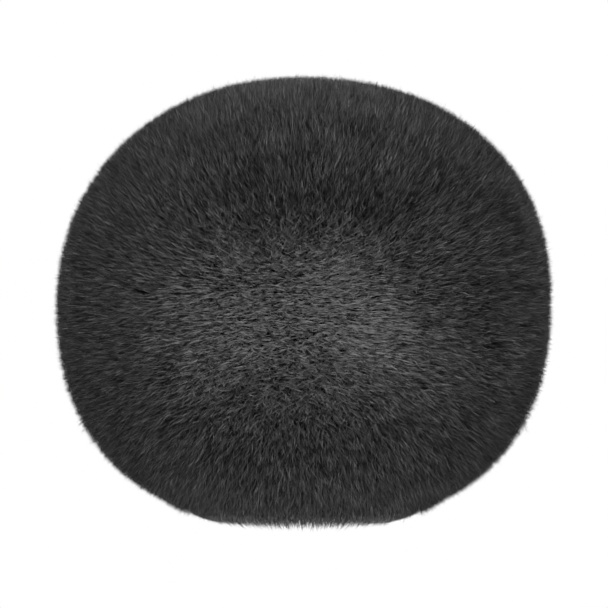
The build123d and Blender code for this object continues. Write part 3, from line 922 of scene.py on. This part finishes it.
def hem_pile():
    """Hair on the hem. It carries on from the base on the outside, and closes in over the opening."""
    rng = np.random.default_rng(19)
    lock = np.repeat(np.arange(HEM_LOCKS), HAIRS_PER_LOCK)
    turn = rng.uniform(-pi, pi, HEM_LOCKS)[lock]
    # 0 at the hem's outer edge and 1 at its inner edge, and below 0 on its outer side
    inner = np.clip(rng.uniform(-0.25, 1, HEM_LOCKS)[lock] + 0.04 * rng.normal(size=len(lock)), -0.3, 1)
    out = HEM_OUT_R - (HEM_OUT_R - HEM_IN_R - 0.2 * MM) * np.maximum(inner, -0.1)
    root = out_at(turn) * out[:, None]
    low = float(HEM_LOW[2])
    root[:, 2] = np.where(inner < 0.06, low + HEM_SIDE_HIGH * rng.random(len(lock)), low + 0.2 * MM)
    inner = np.clip(inner, 0, 1)[:, None]
    lean = (rng.normal(size=(HEM_LOCKS, 2)) * 0.12)[lock] + rng.normal(size=(len(lock), 2)) * 0.05
    way = out_at(turn) * (HEM_OUT_LEAN - HEM_TURN_IN * inner + lean[:, :1]) + along_at(turn) * lean[:, 1:]
    ends = root + way * HEM_DROP
    radius = np.hypot(ends[:, 0], ends[:, 1]) * (1 - HEM_DEEPER * inner[:, 0] ** 2 * np.sin(turn) ** 2)
    reach = BALL_Z - HALF_H * (1 - (radius / BALL_R) ** BOTTOM_POWER) ** (1 / BOTTOM_POWER)
    reach = reach + 0.35 * MM * rng.normal(size=HEM_LOCKS)[lock] + 0.15 * MM * rng.normal(size=len(lock))
    drop = np.maximum(root[:, 2] - reach, 0.4 * MM)[:, None]
    tip = root + way * drop - np.array([0, 0, 1]) * drop
    bend = root + way * drop * 0.35 - np.array([0, 0, 0.55]) * drop
    tone = HEM_TONE + LOCK_TONE * rng.normal(size=HEM_LOCKS)[lock]
    tone = tone + HEM_HAIR_TONE * rng.normal(size=len(lock))
    return root, bend, tip, np.clip(np.round(tone), 0, len(PILE_SHADES) - 1).astype(int)


def pile_piece(name, root, bend, tip, shade, materials):
    """Tapered blades, one for each hair: a wide stem from root to bend and a point to the tip."""
    rng = np.random.default_rng(len(root))
    flat = unit(np.cross(tip - root, rng.normal(size=root.shape))) * HAIR_WIDTH / 2
    count = len(root)
    points = np.stack([root - flat, root + flat, bend + flat * 0.9, bend - flat * 0.9, tip], 1).reshape(-1, 3)
    first = np.arange(count)[:, None] * 5
    stems = first + np.array([[0, 1, 2, 3]])
    ends = first + np.array([[3, 2, 4]])
    # stems one shade darker than their tips: partly painted shade deep in the pile, partly darker fibre at
    # the root
    index = np.concatenate([np.maximum(shade - 1, 0), shade])
    return new_mesh(name, points, [stems, ends], materials, "ball", index=index, smooth_faces=False)


def make_pile():
    """The pile of every panel, in pieces of limited size."""
    materials = pile_materials()
    root, bend, tip, shade, panel = grow_pile()
    pieces = {}
    for name in sorted(set(panel)):
        chosen = np.flatnonzero(panel == name)
        parts = -(-len(chosen) // MOST_HAIRS)
        pieces[name] = [
            pile_piece(f"{name}_pile_{number + 1}", root[part], bend[part], tip[part], shade[part], materials)
            for number, part in enumerate(np.array_split(chosen, parts))
        ]
    pieces["base_panel"].append(pile_piece("hem_pile", *hem_pile(), materials))
    return pieces


# ---- Put together ----
STRETCH = 1.06  # the cover is cut this much small in each direction, and pulled over the ball
BAND_FILL = 0.95  # share of its rectangle that a band panel fills


def flat_sizes():
    """Width, length and area of each panel as it is cut, laid flat, before it is stretched."""
    inset = (BACKING_OUT + BACKING_IN) / 2
    seam, crown = float(tilt_at(SEAM_Z, inset)), float(tilt_at(CROWN_Z, inset))
    hem = float(tilt_at_radius(HEM_OUT_R, inset))
    band = height_line(inset, seam, crown) / STRETCH
    crown_r = height_line(inset, crown, pi / 2) / STRETCH
    hem_r = HEM_OUT_R / STRETCH
    base_r = hem_r + height_line(inset, hem, seam) / STRETCH
    sizes = {
        "crown_panel": ((2 * crown_r, 2 * crown_r), pi * crown_r ** 2),
        "base_panel": ((2 * base_r, 2 * base_r), pi * (base_r ** 2 - hem_r ** 2)),
    }
    for name, sweep in zip(BAND_PANELS, PANEL_SWEEPS):
        width = (BALL_R - inset) * sweep / STRETCH
        sizes[name] = ((width, band), width * band * BAND_FILL)
    return sizes


for node, material in NODE_MATERIALS.items():
    bpy.data.objects[node].material_slots[0].material = material

backings = make_backings()
make_foam()
hem = make_hem()
make_elastic()
tapes = make_zip_tapes()
make_zip_teeth()
piles = make_pile()
for node, (flat, area) in flat_sizes().items():
    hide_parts(node)
